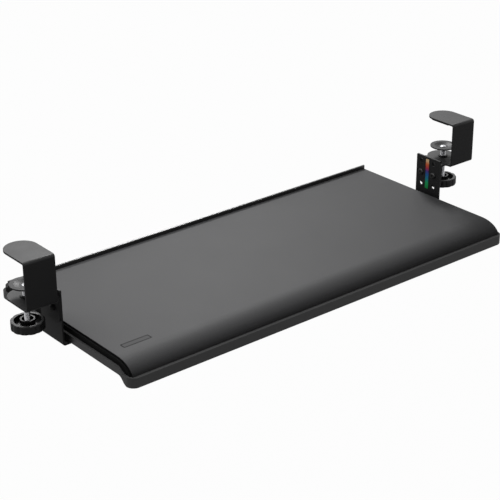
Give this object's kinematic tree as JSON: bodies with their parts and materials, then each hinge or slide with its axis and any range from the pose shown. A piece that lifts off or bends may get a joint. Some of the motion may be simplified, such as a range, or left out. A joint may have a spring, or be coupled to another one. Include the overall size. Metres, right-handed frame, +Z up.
{
  "type": "clamp-on under-desk keyboard tray",
  "caption": "Sliding keyboard tray that hangs under a desk's front edge from two screw clamps with drop plates and ball-bearing rails.",
  "frame": {"origin": "middle of the tray's flat top face, level front to back with the clamp screws", "axes": "+X to the user's right, +Y to the rear under the desk, +Z up"},
  "size_m": [0.7984, 0.311, 0.1448],
  "materials": {
    "textured_top": "fine even grain, matt",
    "core_plastic": "matt black moulding",
    "rim_plastic": "matt dark grey moulding",
    "stop_plastic": "matt dark grey extrusion",
    "label_plastic": "smooth matt, bare",
    "black_screws": "black oxide",
    "black_steel": "satin black powder coat",
    "rail_steel": "zinc plated",
    "cage_steel": "zinc plated, thin",
    "ball_steel": "polished",
    "zinc_steel": "bright zinc",
    "pad_steel": "satin black paint",
    "knob_plastic": "satin black moulding",
    "rubber": "matt",
    "strip_print": "printed label with bands of colour"
  },
  "bodies": {
    "desk_side": {"rail_rivets": "rail_steel", "plate_bolts": "black_screws", "plate_nuts": "black_screws", "left_clamp_bracket": "black_steel", "left_jaw_pad": "rubber", "left_thread_bush": "black_steel", "left_drop_plate": "black_steel", "left_height_strip": "strip_print", "left_outer_rail": "rail_steel", "right_clamp_bracket": "black_steel", "right_jaw_pad": "rubber", "right_thread_bush": "black_steel", "right_drop_plate": "black_steel", "right_height_strip": "strip_print", "right_outer_rail": "rail_steel"},
    "tray": {"tray_skin": "textured_top", "tray_core": "core_plastic", "tray_rim": "rim_plastic", "rear_stop": "stop_plastic", "label_plate": "label_plastic", "shell_screws": "black_screws", "rail_screws": "rail_steel", "left_inner_rail": "rail_steel", "left_rail_bumper": "rubber", "right_inner_rail": "rail_steel", "right_rail_bumper": "rubber"},
    "left_cage": {"left_ball_cage": "cage_steel", "left_cage_balls": "ball_steel"},
    "left_pad": {"left_pressure_pad": "pad_steel"},
    "left_screw": {"left_clamp_screw": "zinc_steel", "left_hand_knob": "knob_plastic", "left_lock_nut": "zinc_steel"},
    "right_cage": {"right_ball_cage": "cage_steel", "right_cage_balls": "ball_steel"},
    "right_pad": {"right_pressure_pad": "pad_steel"},
    "right_screw": {"right_clamp_screw": "zinc_steel", "right_hand_knob": "knob_plastic", "right_lock_nut": "zinc_steel"}
  },
  "joints": [
    {"name": "tray_slide", "type": "slide", "parent": "desk_side", "child": "tray", "axis": [0, 1, 0], "range_m": [-0.11, 0.11]},
    {"name": "left_cage_travel", "type": "slide", "parent": "desk_side", "child": "left_cage", "axis": [0, 1, 0], "range_m": [-0.055, 0.055]},
    {"name": "left_pad_lift", "type": "slide", "parent": "desk_side", "child": "left_pad", "axis": [0, 0, 1], "range_m": [-0.0121, 0.0241]},
    {"name": "left_screw_turn", "type": "hinge", "parent": "left_pad", "child": "left_screw", "pos_m": [-0.3767, 0.0013, 0.03], "axis": [0, 0, 1], "range_deg": [-3490, 6950]},
    {"name": "right_cage_travel", "type": "slide", "parent": "desk_side", "child": "right_cage", "axis": [0, 1, 0], "range_m": [-0.055, 0.055]},
    {"name": "right_pad_lift", "type": "slide", "parent": "desk_side", "child": "right_pad", "axis": [0, 0, 1], "range_m": [-0.0121, 0.0241]},
    {"name": "right_screw_turn", "type": "hinge", "parent": "right_pad", "child": "right_screw", "pos_m": [0.3767, 0.0013, 0.03], "axis": [0, 0, 1], "range_deg": [-3490, 6950]}
  ],
  "couplings": [
    {"joint": "left_cage_travel", "follows": "tray_slide", "ratio": 0.5},
    {"joint": "left_screw_turn", "follows": "left_pad_lift", "rad_per_m": 5026.5},
    {"joint": "right_cage_travel", "follows": "tray_slide", "ratio": 0.5},
    {"joint": "right_screw_turn", "follows": "right_pad_lift", "rad_per_m": 5026.5}
  ]
}
